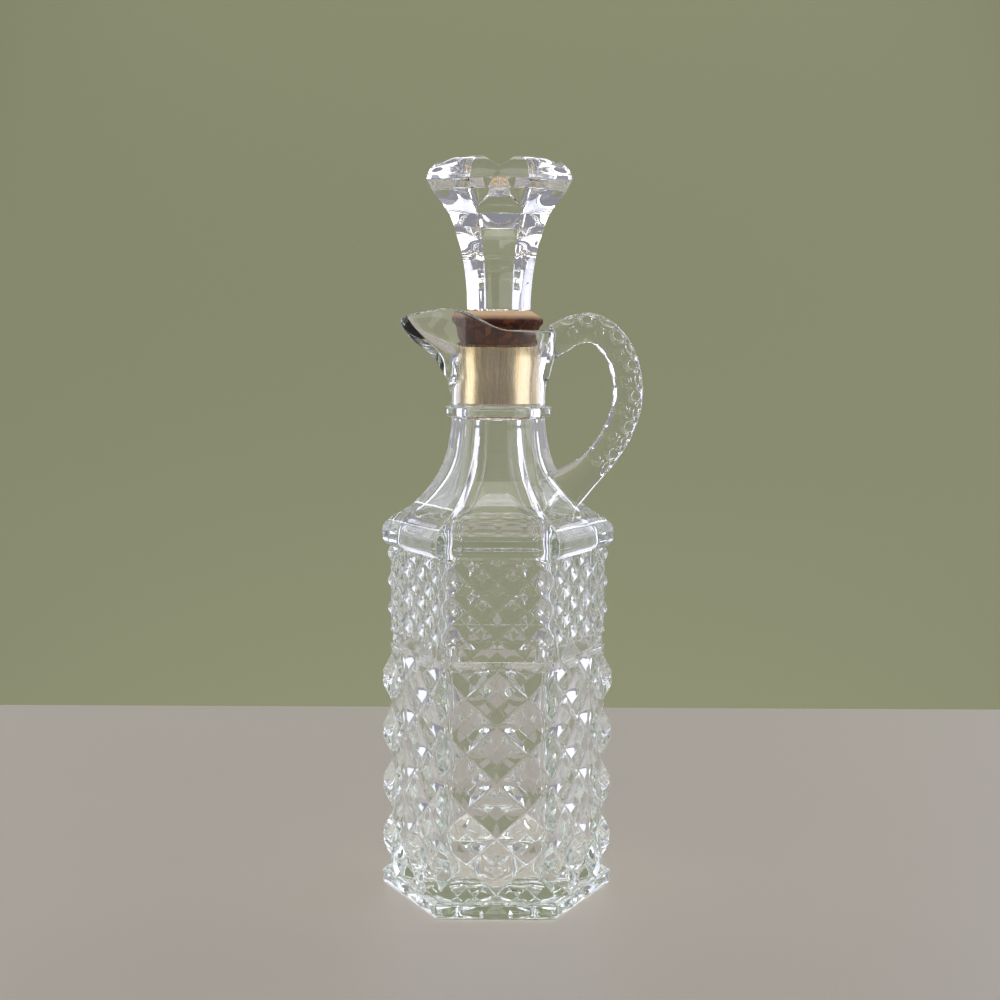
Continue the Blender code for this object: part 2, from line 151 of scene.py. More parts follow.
# The net of a band's face, in millimetres, before it is cut to size
NET_HALF_WIDTH = 21.5
NET_MARGIN = 3
CUT_MERGE = 0.00001

# Distances in metres at which points count as one or as level
BAND_WELD = 0.00002
RAY_WELD = 0.000001
LEVEL_TOLERANCE = 0.00005

# The camera as fitted to the photo, in pixels, metres and degrees; it was held a hair off level
SENSOR_WIDTH = 36.0
IMAGE_WIDTH = 1000
FOCAL_LENGTH = 1537.6
CAMERA_PLACE = (0.00058, -0.45858, 0.17025)
CAMERA_PITCH = 6.338
CAMERA_ROLL = 0.27

# The stage, in metres; a film of air under the foot keeps its underside shining
FLOOR = -0.1 * MM
FLOOR_REACH = 1.2
FLOOR_BACK = 0.224
BACKDROP_REACH = 0.52
BACKDROP_PLACE = 0.9
BACKDROP_BOTTOM = -0.9
BACKDROP_TOP = 1.6
SURROUND_STRENGTH = 0.35

# Each light's name, width and height, power in watts, place, target and colour
MIDDLE = (0, 0, 0.1)
LIGHTS = (
    ("left_window", (0.4, 1.0), 1.3, (-0.75, 0.6, 0.45), MIDDLE, "#e4e7fb"),
    ("right_window", (0.55, 1.0), 2.1, (0.75, 0.6, 0.45), MIDDLE, "#e6e6fb"),
    ("left_strip", (0.03, 0.9), 0.35, (-0.6, 0.75, 0.45), MIDDLE, "#ffffff"),
    ("right_strip", (0.04, 0.9), 0.5, (0.6, 0.75, 0.45), MIDDLE, "#ffffff"),
    ("left_board", (0.5, 0.9), 2.0, (-0.88, -0.15, 0.4), MIDDLE, "#fffaf0"),
    ("right_board", (0.7, 0.9), 2.8, (0.8, -0.35, 0.4), MIDDLE, "#fbf9ff"),
    ("back_light", (1.6, 0.5), 6.4, (0.0, 0.45, 1.2), (0, 0.9, 0.3), "#ffffff"),
    ("low_back_light", (1.6, 0.4), 4.2, (0.0, 0.45, -0.5), (0, 0.9, 0.0), "#ffffff"),
    ("top_light", (0.8, 0.5), 2.4, (-0.2, -0.5, 1.2), MIDDLE, "#fff8ee"),
)

# Light crosses many faces of the cut glass before it leaves
GLASS_BOUNCES = 48
GLOSSY_BOUNCES = 12
DIFFUSE_BOUNCES = 4


# Small tools

def linear(hex_colour):
    """A colour written as sRGB hex, as linear numbers."""
    parts = [int(hex_colour[i:i + 2], 16) / 255 for i in (1, 3, 5)]
    return [c / 12.92 if c <= 0.04045 else ((c + 0.055) / 1.055) ** 2.4 for c in parts] + [1.0]


def add_node(tree, kind, settings=None, inputs=None):
    """A new node with its settings; an input is a value or another node's output."""
    item = tree.nodes.new(kind)
    for name, value in (settings or {}).items():
        setattr(item, name, value)
    for name, value in (inputs or {}).items():
        if isinstance(value, bpy.types.NodeSocket):
            tree.links.new(value, item.inputs[name])
        else:
            item.inputs[name].default_value = value
    return item


def ease(value, start, end):
    part = min(1.0, max(0.0, (value - start) / (end - start)))
    return part * part * (3 - 2 * part)


def spline(rows, steps):
    """Rows of numbers with smooth steps put between them."""
    last = len(rows) - 1
    out = []
    for i in range(last):
        a, b, c, d = (rows[min(max(i + k, 0), last)] for k in (-1, 0, 1, 2))
        for step in range(steps):
            t = step / steps
            out.append(tuple(
                0.5 * (2 * q + (r - p) * t + (2 * p - 5 * q + 4 * r - s) * t ** 2
                       + (3 * q - p - 3 * r + s) * t ** 3)
                for p, q, r, s in zip(a, b, c, d)
            ))
    out.append(tuple(float(value) for value in rows[-1]))
    return out


def soften(points, reach):
    """A profile with each inner corner turned into a short curve."""
    out = [points[0]]
    longest = 0.45  # as a share of a side
    for before, here, after in zip(points, points[1:], points[2:]):
        b, h, a = Vector(before), Vector(here), Vector(after)
        start = h + (b - h) * min(longest, reach / max((b - h).length, 1e-9))
        end = h + (a - h) * min(longest, reach / max((a - h).length, 1e-9))
        for step in range(BEND_STEPS + 1):
            t = step / BEND_STEPS
            out.append(tuple((1 - t) ** 2 * start + 2 * t * (1 - t) * h + t * t * end))
    out.append(points[-1])
    return out


def new_group(name):
    group = bpy.data.collections.new(name)
    bpy.context.scene.collection.children.link(group)
    return group


def object_from_bmesh(name, shape, group=None):
    """A new object from a bmesh in millimetres, closed and facing outwards."""
    bmesh.ops.recalc_face_normals(shape, faces=shape.faces[:])
    bmesh.ops.scale(shape, vec=(MM, MM, MM), verts=shape.verts[:])
    mesh = bpy.data.meshes.new(name)
    shape.to_mesh(mesh)
    shape.free()
    item = bpy.data.objects.new(name, mesh)
    (group or bpy.context.scene.collection).objects.link(item)
    return item


def bridge(shape, low, high):
    """Faces between two closed rows of equally many points."""
    count = len(low)
    for i in range(count):
        j = (i + 1) % count
        shape.faces.new((low[i], low[j], high[j], high[i]))


def loft(name, rings, group=None):
    """A closed solid through rings of equally many points, with a fan of faces at each end."""
    shape = bmesh.new()
    rows = [[shape.verts.new(point) for point in ring] for ring in rings]
    count = len(rings[0])
    for low, high in zip(rows, rows[1:]):
        bridge(shape, low, high)
    for ring, row in ((rings[0], rows[0]), (rings[-1], rows[-1])):
        middle = shape.verts.new(sum((Vector(point) for point in ring), Vector()) / count)
        for i in range(count):
            shape.faces.new((row[i], row[(i + 1) % count], middle))
    return object_from_bmesh(name, shape, group)


def make_plain(item):
    """Replaces an object's mesh by its evaluated one and drops the modifiers."""
    bpy.context.view_layer.update()
    evaluated = item.evaluated_get(bpy.context.evaluated_depsgraph_get())
    mesh = bpy.data.meshes.new_from_object(evaluated)
    item.modifiers.clear()
    item.data = mesh


def boolean(item, operation, group):
    """Cuts or joins an object with a whole collection, then removes the collection."""
    step = item.modifiers.new(operation.lower(), "BOOLEAN")
    step.operation = operation
    step.solver = "MANIFOLD"
    step.operand_type = "COLLECTION"
    step.collection = group
    make_plain(item)
    for used in list(group.objects):
        bpy.data.objects.remove(used, do_unlink=True)
    bpy.data.collections.remove(group)


def run_tree(item, tree, values):
    """Runs a Geometry Nodes tree on an object with values for its named inputs."""
    step = item.modifiers.new(tree.name, "NODES")
    step.node_group = tree
    names = {
        socket.name: socket.identifier for socket in tree.interface.items_tree
        if socket.item_type == "SOCKET" and socket.in_out == "INPUT"
    }
    for name, value in values.items():
        step[names[name]] = value
    make_plain(item)


def smooth_shading(item, angle):
    """Smooth shading that keeps steep edges sharp and leaves broad faces flat."""
    item.data.shade_smooth()
    item.data.set_sharp_from_angle(angle=math.radians(angle))
    step = item.modifiers.new("broad_faces_first", "WEIGHTED_NORMAL")
    step.keep_sharp = True
    make_plain(item)


# Trees of Geometry Nodes

def new_tree(name, inputs):
    tree = bpy.data.node_groups.new(name, "GeometryNodeTree")
    tree.interface.new_socket("Geometry", in_out="INPUT", socket_type="NodeSocketGeometry")
    for label, kind in inputs:
        tree.interface.new_socket(label, in_out="INPUT", socket_type=kind)
    tree.interface.new_socket("Geometry", in_out="OUTPUT", socket_type="NodeSocketGeometry")
    return tree, tree.nodes.new("NodeGroupInput"), tree.nodes.new("NodeGroupOutput")


def polar_tree():
    """Repeats a mesh round the upright axis and welds the copies where they meet."""
    tree, start, end = new_tree("polar_array", [
        ("Count", "NodeSocketInt"), ("Weld Distance", "NodeSocketFloat"),
        ("Finish", "NodeSocketMaterial"),
    ])
    spots = add_node(tree, "GeometryNodeMeshLine", inputs={
        "Count": start.outputs["Count"], "Offset": (0.0, 0.0, 0.0),
    })
    index = add_node(tree, "GeometryNodeInputIndex")
    share = add_node(tree, "ShaderNodeMath", {"operation": "DIVIDE"}, {
        0: index.outputs[0], 1: start.outputs["Count"],
    })
    turn = add_node(tree, "ShaderNodeMath", {"operation": "MULTIPLY"}, {
        0: share.outputs[0], 1: 2 * math.pi,
    })
    angles = add_node(tree, "ShaderNodeCombineXYZ", inputs={"Z": turn.outputs[0]})
    copies = add_node(tree, "GeometryNodeInstanceOnPoints", inputs={
        "Points": spots.outputs["Mesh"], "Instance": start.outputs["Geometry"],
        "Rotation": angles.outputs[0],
    })
    real = add_node(tree, "GeometryNodeRealizeInstances", inputs={"Geometry": copies.outputs[0]})
    weld = add_node(tree, "GeometryNodeMergeByDistance", inputs={
        "Geometry": real.outputs[0], "Distance": start.outputs["Weld Distance"],
    })
    finish = add_node(tree, "GeometryNodeSetMaterial", inputs={
        "Geometry": weld.outputs[0], "Material": start.outputs["Finish"],
    })
    tree.links.new(finish.outputs[0], end.inputs[0])
    return tree


def thumbprint_tree():
    """Cuts round thumbprints out of a handle, one at each point of a second object."""
    tree, start, end = new_tree("thumbprints", [
        ("Centres", "NodeSocketObject"), ("Radius", "NodeSocketFloat"), ("Finish", "NodeSocketMaterial"),
    ])
    spots = add_node(tree, "GeometryNodeObjectInfo", inputs={"Object": start.outputs["Centres"]})
    ball = add_node(tree, "GeometryNodeMeshIcoSphere", inputs={
        "Radius": start.outputs["Radius"], "Subdivisions": 4,
    })
    balls = add_node(tree, "GeometryNodeInstanceOnPoints", inputs={
        "Points": spots.outputs["Geometry"], "Instance": ball.outputs["Mesh"],
    })
    cut = add_node(tree, "GeometryNodeMeshBoolean", {"operation": "DIFFERENCE", "solver": "MANIFOLD"})
    tree.links.new(start.outputs["Geometry"], cut.inputs["Mesh 1"])
    tree.links.new(balls.outputs[0], cut.inputs["Mesh 2"])
    real = add_node(tree, "GeometryNodeRealizeInstances", inputs={"Geometry": cut.outputs["Mesh"]})
    finish = add_node(tree, "GeometryNodeSetMaterial", inputs={
        "Geometry": real.outputs[0], "Material": start.outputs["Finish"],
    })
    tree.links.new(finish.outputs[0], end.inputs[0])
    return tree


# Materials

def new_material(name):
    material = bpy.data.materials.new(name)
    material.use_nodes = True
    return material, material.node_tree, material.node_tree.nodes["Principled BSDF"]


def pressed_glass(name, tint, density):
    """Soda-lime glass pressed in a mould and fire-polished: clear, smooth to the touch, with a slow
    waviness that bends what is seen through it and a green cast where it is thick."""
    material, tree, shader = new_material(name)
    shader.inputs["Base Color"].default_value = linear("#ffffff")
    shader.inputs["Roughness"].default_value = 0.0
    shader.inputs["IOR"].default_value = 1.52
    shader.inputs["Transmission Weight"].default_value = 1.0
    place = add_node(tree, "ShaderNodeTexCoord")
    wave = add_node(tree, "ShaderNodeTexNoise", inputs={
        "Vector": place.outputs["Object"], "Scale": 1 / (14 * MM), "Detail": 1.0, "Roughness": 0.4,
    })
    bump = add_node(tree, "ShaderNodeBump", inputs={
        "Height": wave.outputs["Fac"], "Strength": 1.0, "Distance": 0.12 * MM,
    })
    tree.links.new(bump.outputs["Normal"], shader.inputs["Normal"])
    body = add_node(tree, "ShaderNodeVolumeAbsorption", inputs={"Color": linear(tint), "Density": density})
    tree.links.new(body.outputs[0], tree.nodes["Material Output"].inputs["Volume"])
    return material


def stained_cork():
    """Agglomerated cork, turned and stained dark brown: matt, with grains of many browns and dark
    pores; its top edge is painted paler, a painted highlight standing in for light falling on the top."""
    material, tree, shader = new_material("stained_cork")
    place = add_node(tree, "ShaderNodeTexCoord")
    grain = add_node(tree, "ShaderNodeTexVoronoi", inputs={
        "Vector": place.outputs["Object"], "Scale": 1 / (1.6 * MM), "Randomness": 1.0,
    })
    grey = add_node(tree, "ShaderNodeRGBToBW", inputs={"Color": grain.outputs["Color"]})
    tones = add_node(tree, "ShaderNodeValToRGB", inputs={"Fac": grey.outputs[0]})
    ramp = tones.color_ramp
    ramp.elements[0].color = linear("#2e1206")
    ramp.elements[1].color = linear("#84481f")
    ramp.elements.new(0.55).color = linear("#552710")
    pores = add_node(tree, "ShaderNodeTexNoise", inputs={
        "Vector": place.outputs["Object"], "Scale": 1 / (0.9 * MM), "Detail": 4.0, "Roughness": 0.65,
    })
    holes = add_node(tree, "ShaderNodeMapRange", inputs={
        "Value": pores.outputs["Fac"], "From Min": 0.34, "From Max": 0.42, "To Min": 0.35, "To Max": 1.0,
    })
    dark = add_node(tree, "ShaderNodeMix", {"data_type": "RGBA", "blend_type": "MULTIPLY"}, {
        "Factor": 1.0, 6: tones.outputs["Color"], 7: holes.outputs["Result"],
    })
    split = add_node(tree, "ShaderNodeSeparateXYZ", inputs={"Vector": place.outputs["Object"]})
    # Painted highlight: from 173 mm upwards the cork is painted paler, as if lit from above
    painted_top_highlight = add_node(tree, "ShaderNodeMapRange", inputs={
        "Value": split.outputs["Z"], "From Min": 173.0 * MM, "From Max": 174.6 * MM,
    })
    pale = add_node(tree, "ShaderNodeMix", {"data_type": "RGBA"}, {
        "Factor": painted_top_highlight.outputs["Result"], 6: dark.outputs[2], 7: linear("#cbab84"),
    })
    tree.links.new(pale.outputs[2], shader.inputs["Base Color"])
    shader.inputs["Roughness"].default_value = 0.78
    bump = add_node(tree, "ShaderNodeBump", inputs={
        "Height": pores.outputs["Fac"], "Strength": 0.6, "Distance": 0.3 * MM,
    })
    tree.links.new(bump.outputs["Normal"], shader.inputs["Normal"])
    return material


def satin_sheet_metal():
    """Thin brass sheet with a pale gold wash, rolled and brushed: satin, with fine upright streaks
    and soft broad reflections."""
    material, tree, shader = new_material("satin_pale_gold_brass")
    shader.inputs["Metallic"].default_value = 1.0
    place = add_node(tree, "ShaderNodeTexCoord")
    stretch = add_node(tree, "ShaderNodeMapping", inputs={
        "Vector": place.outputs["Object"], "Scale": (1 / (0.5 * MM), 1 / (0.5 * MM), 1 / (14 * MM)),
    })
    streaks = add_node(tree, "ShaderNodeTexNoise", inputs={
        "Vector": stretch.outputs[0], "Scale": 1.0, "Detail": 3.0, "Roughness": 0.6,
    })
    tones = add_node(tree, "ShaderNodeValToRGB", inputs={"Fac": streaks.outputs["Fac"]})
    tones.color_ramp.elements[0].position = 0.3
    tones.color_ramp.elements[0].color = linear("#d6bd8c")
    tones.color_ramp.elements[1].position = 0.7
    tones.color_ramp.elements[1].color = linear("#f4e6c4")
    tree.links.new(tones.outputs["Color"], shader.inputs["Base Color"])
    rough = add_node(tree, "ShaderNodeMapRange", inputs={
        "Value": streaks.outputs["Fac"], "To Min": 0.2, "To Max": 0.34,
    })
    tree.links.new(rough.outputs["Result"], shader.inputs["Roughness"])
    bump = add_node(tree, "ShaderNodeBump", inputs={
        "Height": streaks.outputs["Fac"], "Strength": 0.25, "Distance": 0.05 * MM,
    })
    tree.links.new(bump.outputs["Normal"], shader.inputs["Normal"])
    return material


def plain_paint(name, hex_colour, roughness):
    """Plain matt paint for the floor and the backdrop."""
    material, _, shader = new_material(name)
    shader.inputs["Base Color"].default_value = linear(hex_colour)
    shader.inputs["Roughness"].default_value = roughness
    return material


# Glass body

CORNER_TURNS = (0.0, 0.3, 0.7, 1.3, 2.3, 4.0, 6.5, 10.0, 14.0, 18.0, 22.0, 26.0, 30.0)
TURNS = [
    math.radians(60 * side + turn)
    for side in range(SIDES)
    for turn in [*(-turn for turn in reversed(CORNER_TURNS[1:-1])), *CORNER_TURNS]
]


def hexagon_ring(tip, height, rounding):
    """A six-sided ring; tip is the radius of its corners, rounded more or less, up to a circle."""
    rounding = min(rounding, tip)
    centre = tip - rounding
    flat = centre * SLOPE + rounding
    rounded = math.atan2(rounding * 0.5, centre + rounding * SLOPE)
    ring = []
    for turn in TURNS:
        near = abs(math.remainder(turn, math.pi / 3))
        if near < rounded:
            radius = centre * math.cos(near) + math.sqrt(rounding ** 2 - (centre * math.sin(near)) ** 2)
        else:
            radius = flat / math.cos(math.pi / SIDES - near)
        ring.append((radius * math.cos(turn), radius * math.sin(turn), height))
    return ring


def flat_sided_ring(flat, corner, height):
    """A six-sided ring; flat is the distance of its sides, and corner the rounding of its corners."""
    corner = min(corner, flat)
    tip = (flat - corner) / SLOPE + corner
    return hexagon_ring(tip, height, corner)


def make_foot(group):
    profile = soften([
        (1.0, 0.0), (33.7, 0.0), (34.75, 0.8), (35.2, 2.0), (35.2, 4.9), (34.2, FOOT_TOP),
        (1.0, FOOT_TOP),
    ], 0.5)
    rings = [flat_sided_ring(tip * SLOPE, FOOT_CORNER, height) for tip, height in profile]
    loft("foot", rings, group)


def make_core():
    """The stem behind the diamonds, the shoulder rim and the six-sided sweep up to the neck."""
    rim = soften([
        (1.0, 3.0), (CORE_RADIUS, 3.0), (CORE_RADIUS, 104.9), (34.1, 106.3), (34.8, 107.6),
        (34.8, 110.9), (34.4, SHOULDER_TOP), (33.6, 113.0), (31.5, 114.7),
    ], 0.8)
    sweep = spline([
        (31.5, 114.7), (28.3, 116.5), (24.9, 119.0), (21.6, 122.6), (18.8, 126.4), (16.9, 130.2),
        (15.65, 133.9), (14.9, 137.6), (14.4, 141.4), (14.2, 143.3), (14.2, 147.1),
    ], SWEEP_STEPS)
    rings = []
    for tip, height in [*rim, *sweep[1:]]:
        rounding = 0.5 + 1.3 * ease(height, 114, 140)
        rings.append(flat_sided_ring(tip * SLOPE, rounding, height))
    return loft("cruet_glass", rings)


def soft_min(a, b, soft):
    return 0.5 * (a + b - math.hypot(a - b, soft))


def groove_height(away, groove, depth, round_off):
    """Height of a V groove's flank at a distance from its bottom, which is rounded."""
    half = groove / 2
    slid = math.hypot(away, round_off) - round_off
    return depth * (slid / (half - round_off * 0.6) - 1)


def band_height(band, x, z):
    """How far the cut face lies outside its flat plane; cuts give negative numbers."""
    half_width, half_height = band["width"] / 2, band["height"] / 2
    slant = half_width * half_height / math.hypot(half_width, half_height)
    up = (z - band["first"]) / band["height"]
    across = x / band["width"]
    heights = []
    for line in (up + across, up - across):
        away = abs(line - round(line)) * 2 * slant
        heights.append(groove_height(away, band["groove"], band["depth"], band["round"]))
    cut = soft_min(soft_min(heights[0], heights[1], band["soft"]), 0.0, band["soft"])
    ends = [band["top"] - z] + ([z - band["bottom"]] if band["at_bottom"] else [])
    for end in ends:
        part = max(0.0, 1 - end / band["edge"])
        cut = soft_min(cut, -band["inset"] * (1 - math.sqrt(max(0.0, 1 - part ** 2))), band["soft"])
    return cut


def band_lines(band):
    """Where the lines of one slanting family run, as shares of the distance between two grooves."""
    half_width, half_height = band["width"] / 2, band["height"] / 2
    slant = 2 * half_width * half_height / math.hypot(half_width, half_height)
    near = [step / slant for step in band["steps"]]
    return sorted({*near, 0.5, *(1 - share for share in near if share > 0)})


def make_band(name, band, polar, group):
    """A band of cut diamonds: one face as a net of slanting lines, bent to the cut, then six times."""
    shares = band_lines(band)
    span = math.ceil(BODY_RADIUS / 2 / band["width"]) + 1
    low = math.floor((band["bottom"] - band["first"]) / band["height"]) - span
    high = math.ceil((band["top"] - band["first"]) / band["height"]) + span
    lines = [low + n + share for n in range(high - low) for share in shares]
    shape = bmesh.new()
    net = {}
    for i, a in enumerate(lines):
        for j, b in enumerate(lines):
            x = (a - b) / 2 * band["width"]
            z = band["first"] + (a + b) / 2 * band["height"]
            inside = band["bottom"] - NET_MARGIN < z < band["top"] + NET_MARGIN
            if inside and abs(x) < NET_HALF_WIDTH:
                net[i, j] = shape.verts.new((x, 0, z))
    for i, j in list(net):
        ring = [net.get(key) for key in ((i, j), (i + 1, j), (i + 1, j + 1), (i, j + 1))]
        if all(ring):
            shape.faces.new(ring)
    cuts = [band["top"] - edge for edge in band["edges"]]
    cuts += [band["bottom"] + edge for edge in (band["edges"] if band["at_bottom"] else (0.0,))]
    for height in cuts:
        bmesh.ops.bisect_plane(
            shape, geom=shape.verts[:] + shape.edges[:] + shape.faces[:], dist=CUT_MERGE,
            plane_co=(0, 0, height), plane_no=(0, 0, 1),
            clear_outer=height == band["top"], clear_inner=height == band["bottom"],
        )
    flat = band["radius"] * SLOPE
    for vert in shape.verts:
        vert.co.y = -flat - band_height(band, vert.co.x, vert.co.z)
    for side in (-1, 1):
        bmesh.ops.bisect_plane(
            shape, geom=shape.verts[:] + shape.edges[:] + shape.faces[:], dist=CUT_MERGE,
            plane_co=(0, 0, 0), plane_no=(side * SLOPE, 0.5, 0), clear_outer=True,
        )
    sheet = object_from_bmesh(name, shape, group)
    run_tree(sheet, polar, {"Count": SIDES, "Weld Distance": BAND_WELD})
    shape = bmesh.new()
    shape.from_mesh(sheet.data)
    edges = [edge for edge in shape.edges if edge.is_boundary]
    for level in (band["bottom"], band["top"]):
        rim = [e for e in edges if all(abs(v.co.z - level * MM) < LEVEL_TOLERANCE for v in e.verts)]
        middle = shape.verts.new((0, 0, level * MM))
        for edge in rim:
            shape.faces.new((*edge.verts, middle))
    bmesh.ops.recalc_face_normals(shape, faces=shape.faces[:])
    shape.to_mesh(sheet.data)
    shape.free()


def spout_point(turn, radius, height, pull, lift, fall):
    """A point of the lip: a circle drawn out towards -X, raised beside the spout, lower at its tip."""
    share = max(0.0, -math.cos(turn)) ** SPOUT_SHARPNESS
    pinch = SPOUT_PINCH * share * pull / SPOUT_REACH
    angle = abs(math.degrees(math.atan2(math.sin(turn), math.cos(turn))))
    up = lift * ease(angle, 78, 138) - fall * ease(angle, 142, 180)
    return (
        radius * math.cos(turn) - pull * share, radius * math.sin(turn) * (1 - pinch), height + up,
    )


def lip_rings(rows):
    """Rings of the lip from rows of radius, height, pull, lift and fall."""
    return [[spout_point(turn, *row) for turn in TURNS] for row in spline(rows, SWEEP_STEPS)]


def make_ring_and_collar(group):
    bead = soften([
        (1.0, RING_BOTTOM - 0.6), (12.8, RING_BOTTOM - 0.5), (RING_RADIUS - 0.6, RING_BOTTOM),
        (RING_RADIUS, RING_BOTTOM + 1.0), (RING_RADIUS, RING_TOP - 0.8), (RING_RADIUS - 0.7, RING_TOP),
        (12.8, RING_TOP), (1.0, RING_TOP),
    ], 0.6)
    loft("ring", [hexagon_ring(tip, height, tip) for tip, height in bead], group)
    rows = [
        (13.9, RING_TOP - 2.0, 0, 0, 0), (14.5, RING_TOP + 0.3, 0, 0, 0), (14.5, 151.6, 0, 0, 0),
        (14.9, 155.2, 0.4, 0, 0), (15.65, 158.0, 1.4, 0, 0), (16.4, 160.9, 2.7, 0.6, 0),
        (16.8, 163.1, 4.2, 1.2, 0.9), (17.0, 165.1, 7.1, 2.7, 2.1), (17.2, 167.1, 9.4, 4.2, 3.4),
        (LIP_RADIUS, 168.6, 11.2, 5.3, 3.3),
        (LIP_RADIUS, 169.5, SPOUT_REACH, SPOUT_RISE, SPOUT_DIP + 0.4),
        (16.8, RIM_HEIGHT, 11.2, SPOUT_RISE, SPOUT_DIP),
        (15.9, RIM_HEIGHT, 10.0, SPOUT_RISE, SPOUT_DIP + 0.4),
        (14.5, RIM_HEIGHT - 0.4, 7.7, SPOUT_RISE - 1.0, SPOUT_DIP + 1.5),
        (7.7, RIM_HEIGHT - 1.5, 2.9, 2.0, 1.0),
    ]
    loft("collar", lip_rings(rows), group)


def handle_frame(knot):
    """Middle, outward direction and place along the route of the handle."""
    last = len(HANDLE_ROUTE) - 1
    index = min(int(knot), last - 1)
    a, b, c, d = (Vector(HANDLE_ROUTE[min(max(index + i, 0), last)]) for i in (-1, 0, 1, 2))
    t = knot - index
    middle = 0.5 * (2 * b + (c - a) * t + (2 * a - 5 * b + 4 * c - d) * t ** 2
                    + (3 * b - a - 3 * c + d) * t ** 3)
    forward = 0.5 * ((c - a) + 2 * (2 * a - 5 * b + 4 * c - d) * t + 3 * (3 * b - a - 3 * c + d) * t ** 2)
    forward.normalize()
    return middle, Vector((-forward.y, forward.x))


def print_centres(row):
    """Middles of the balls that press one row of thumbprints in each side of the handle."""
    spots = []
    travelled = 0.0
    next_spot = row["first"]
    before = handle_frame(0.0)[0]
    sideways = math.sqrt(1 - row["lean"] ** 2)
    away = row["radius"] - row["depth"]
    for step in range((len(HANDLE_ROUTE) - 1) * TRAVEL_STEPS + 1):
        knot = step / TRAVEL_STEPS
        middle, outward = handle_frame(knot)
        travelled += (middle - before).length
        before = middle
        if travelled < next_spot:
            continue
        next_spot += PRINT_PITCH
        if PRINTED_PART[0] < knot < PRINTED_PART[1]:
            out = row["out"] + row["lean"] * away
            for side in (-1, 1):
                spot = Vector((
                    middle.x + outward.x * out, side * (row["aside"] + sideways * away),
                    middle.y + outward.y * out,
                ))
                spots.append(tuple(spot * MM))
    return spots


def make_handle(prints, group):
    """A flat-sided glass loop, with rows of thumbprints pressed in its sides and outer corners."""
    power = HANDLE_SQUARENESS
    rings = []
    for step in range((len(HANDLE_ROUTE) - 1) * HANDLE_STEPS + 1):
        knot = step / HANDLE_STEPS
        middle, outward = handle_frame(knot)
        root = ease(knot, 10.0, 13.0)
        top = 1 - ease(knot, 0.0, 2.5)
        spread = 1 + (HANDLE_ROOT_SPREAD - 1) * root + HANDLE_TOP_SPREAD * top
        ring = []
        for i in range(HANDLE_COLUMNS):
            turn = 2 * math.pi * i / HANDLE_COLUMNS
            across, sideways = math.cos(turn), math.sin(turn)
            size = (abs(across) ** power + abs(sideways) ** power) ** (-1 / power)
            reach = across * HANDLE_THICKNESS / 2 * spread * size
            ring.append((
                middle.x + outward.x * reach,
                sideways * HANDLE_WIDTH / 2 * (1 + (spread - 1) * 0.4) * size,
                middle.y + outward.y * reach,
            ))
        rings.append(ring)
    handle = loft("handle", rings, group)
    for row in PRINT_ROWS:
        centres = bpy.data.meshes.new("print_centres")
        centres.from_pydata(print_centres(row), [], [])
        spots = bpy.data.objects.new("print_centres", centres)
        bpy.context.scene.collection.objects.link(spots)
        run_tree(handle, prints, {"Centres": spots, "Radius": row["radius"] * MM})
        bpy.data.objects.remove(spots)


def make_hollow(group):
    """The inside, from its floor up: straight sides, a shoulder even with the outside, neck and mouth."""
    sides = [
        (HOLLOW_FLAT - 13.0, HOLLOW_FLOOR), (HOLLOW_FLAT - 6.0, HOLLOW_FLOOR + 0.5),
        (HOLLOW_FLAT - 2.8, HOLLOW_FLOOR + 2.0), (HOLLOW_FLAT - 0.8, HOLLOW_FLOOR + 5.0),
        (HOLLOW_FLAT, HOLLOW_FLOOR + 10.0), (HOLLOW_FLAT, 30.0), (HOLLOW_FLAT, 50.0),
        (HOLLOW_FLAT, 70.0), (HOLLOW_FLAT, 88.0), (HOLLOW_FLAT, 97.5), (HOLLOW_FLAT, 104.0),
        (22.9, 109.0),
    ]
    rows = [(flat, HOLLOW_CORNER, height) for flat, height in sides]
    rows += [
        (21.4, 6.5, 113.0), (19.0, 7.5, 116.2), (16.5, 8.5, 119.4), (14.1, 9.5, 123.4),
        (12.3, 10.5, 127.4), (11.2, 11.2, 132.0), (10.5, 10.5, 137.5), (NECK_BORE, NECK_BORE, 142.0),
        (NECK_BORE, NECK_BORE, SEAT_HEIGHT),
    ]
    rings = [flat_sided_ring(*row) for row in spline(rows, SWEEP_STEPS)]
    mouth = lip_rings([
        (SLEEVE_BORE, SEAT_HEIGHT, 0, 0, 0), (SLEEVE_BORE, 155.0, 0, 0, 0), (SLEEVE_BORE, 161.3, 0, 0, 0),
        (12.95, 163.4, 1.3, 0.3, 0), (13.4, 164.9, 3.1, 0.9, 0.4), (13.9, 166.5, 5.5, 1.9, 1.2),
        (14.4, 167.8, 7.6, 3.4, 2.1), (14.9, 169.0, 9.6, 4.8, 2.4),
        (MOUTH_RADIUS, RIM_HEIGHT, 11.0, 5.6, 2.1),
    ])
    top = [(x, y, CUTTER_TOP) for x, y, _ in mouth[-1]]
    loft("hollow", [*rings, *mouth, top], group)


def make_star(polar, group):
    """Rays pressed in the underside; the ridge of each is shorter than its foot."""
    shape = bmesh.new()
    corners = (
        (RAY_START, -RAY_HALF_WIDTH), (RAY_END, -RAY_HALF_WIDTH),
        (RAY_END, RAY_HALF_WIDTH), (RAY_START, RAY_HALF_WIDTH),
    )
    low = [shape.verts.new((x, y, RAY_BOTTOM)) for x, y in corners]
    high = [shape.verts.new((x, 0.0, RAY_RIDGE)) for x in (4.6, 21.0)]
    shape.faces.new(low)
    shape.faces.new((low[0], low[1], high[1], high[0]))
    shape.faces.new((low[2], low[3], high[0], high[1]))
    shape.faces.new((low[1], low[2], high[1]))
    shape.faces.new((low[3], low[0], high[0]))
    ray = object_from_bmesh("star", shape, group)
    ray.data.transform(Matrix.Rotation(math.pi / STAR_RAYS, 4, "Z"))
    run_tree(ray, polar, {"Count": STAR_RAYS, "Weld Distance": RAY_WELD})


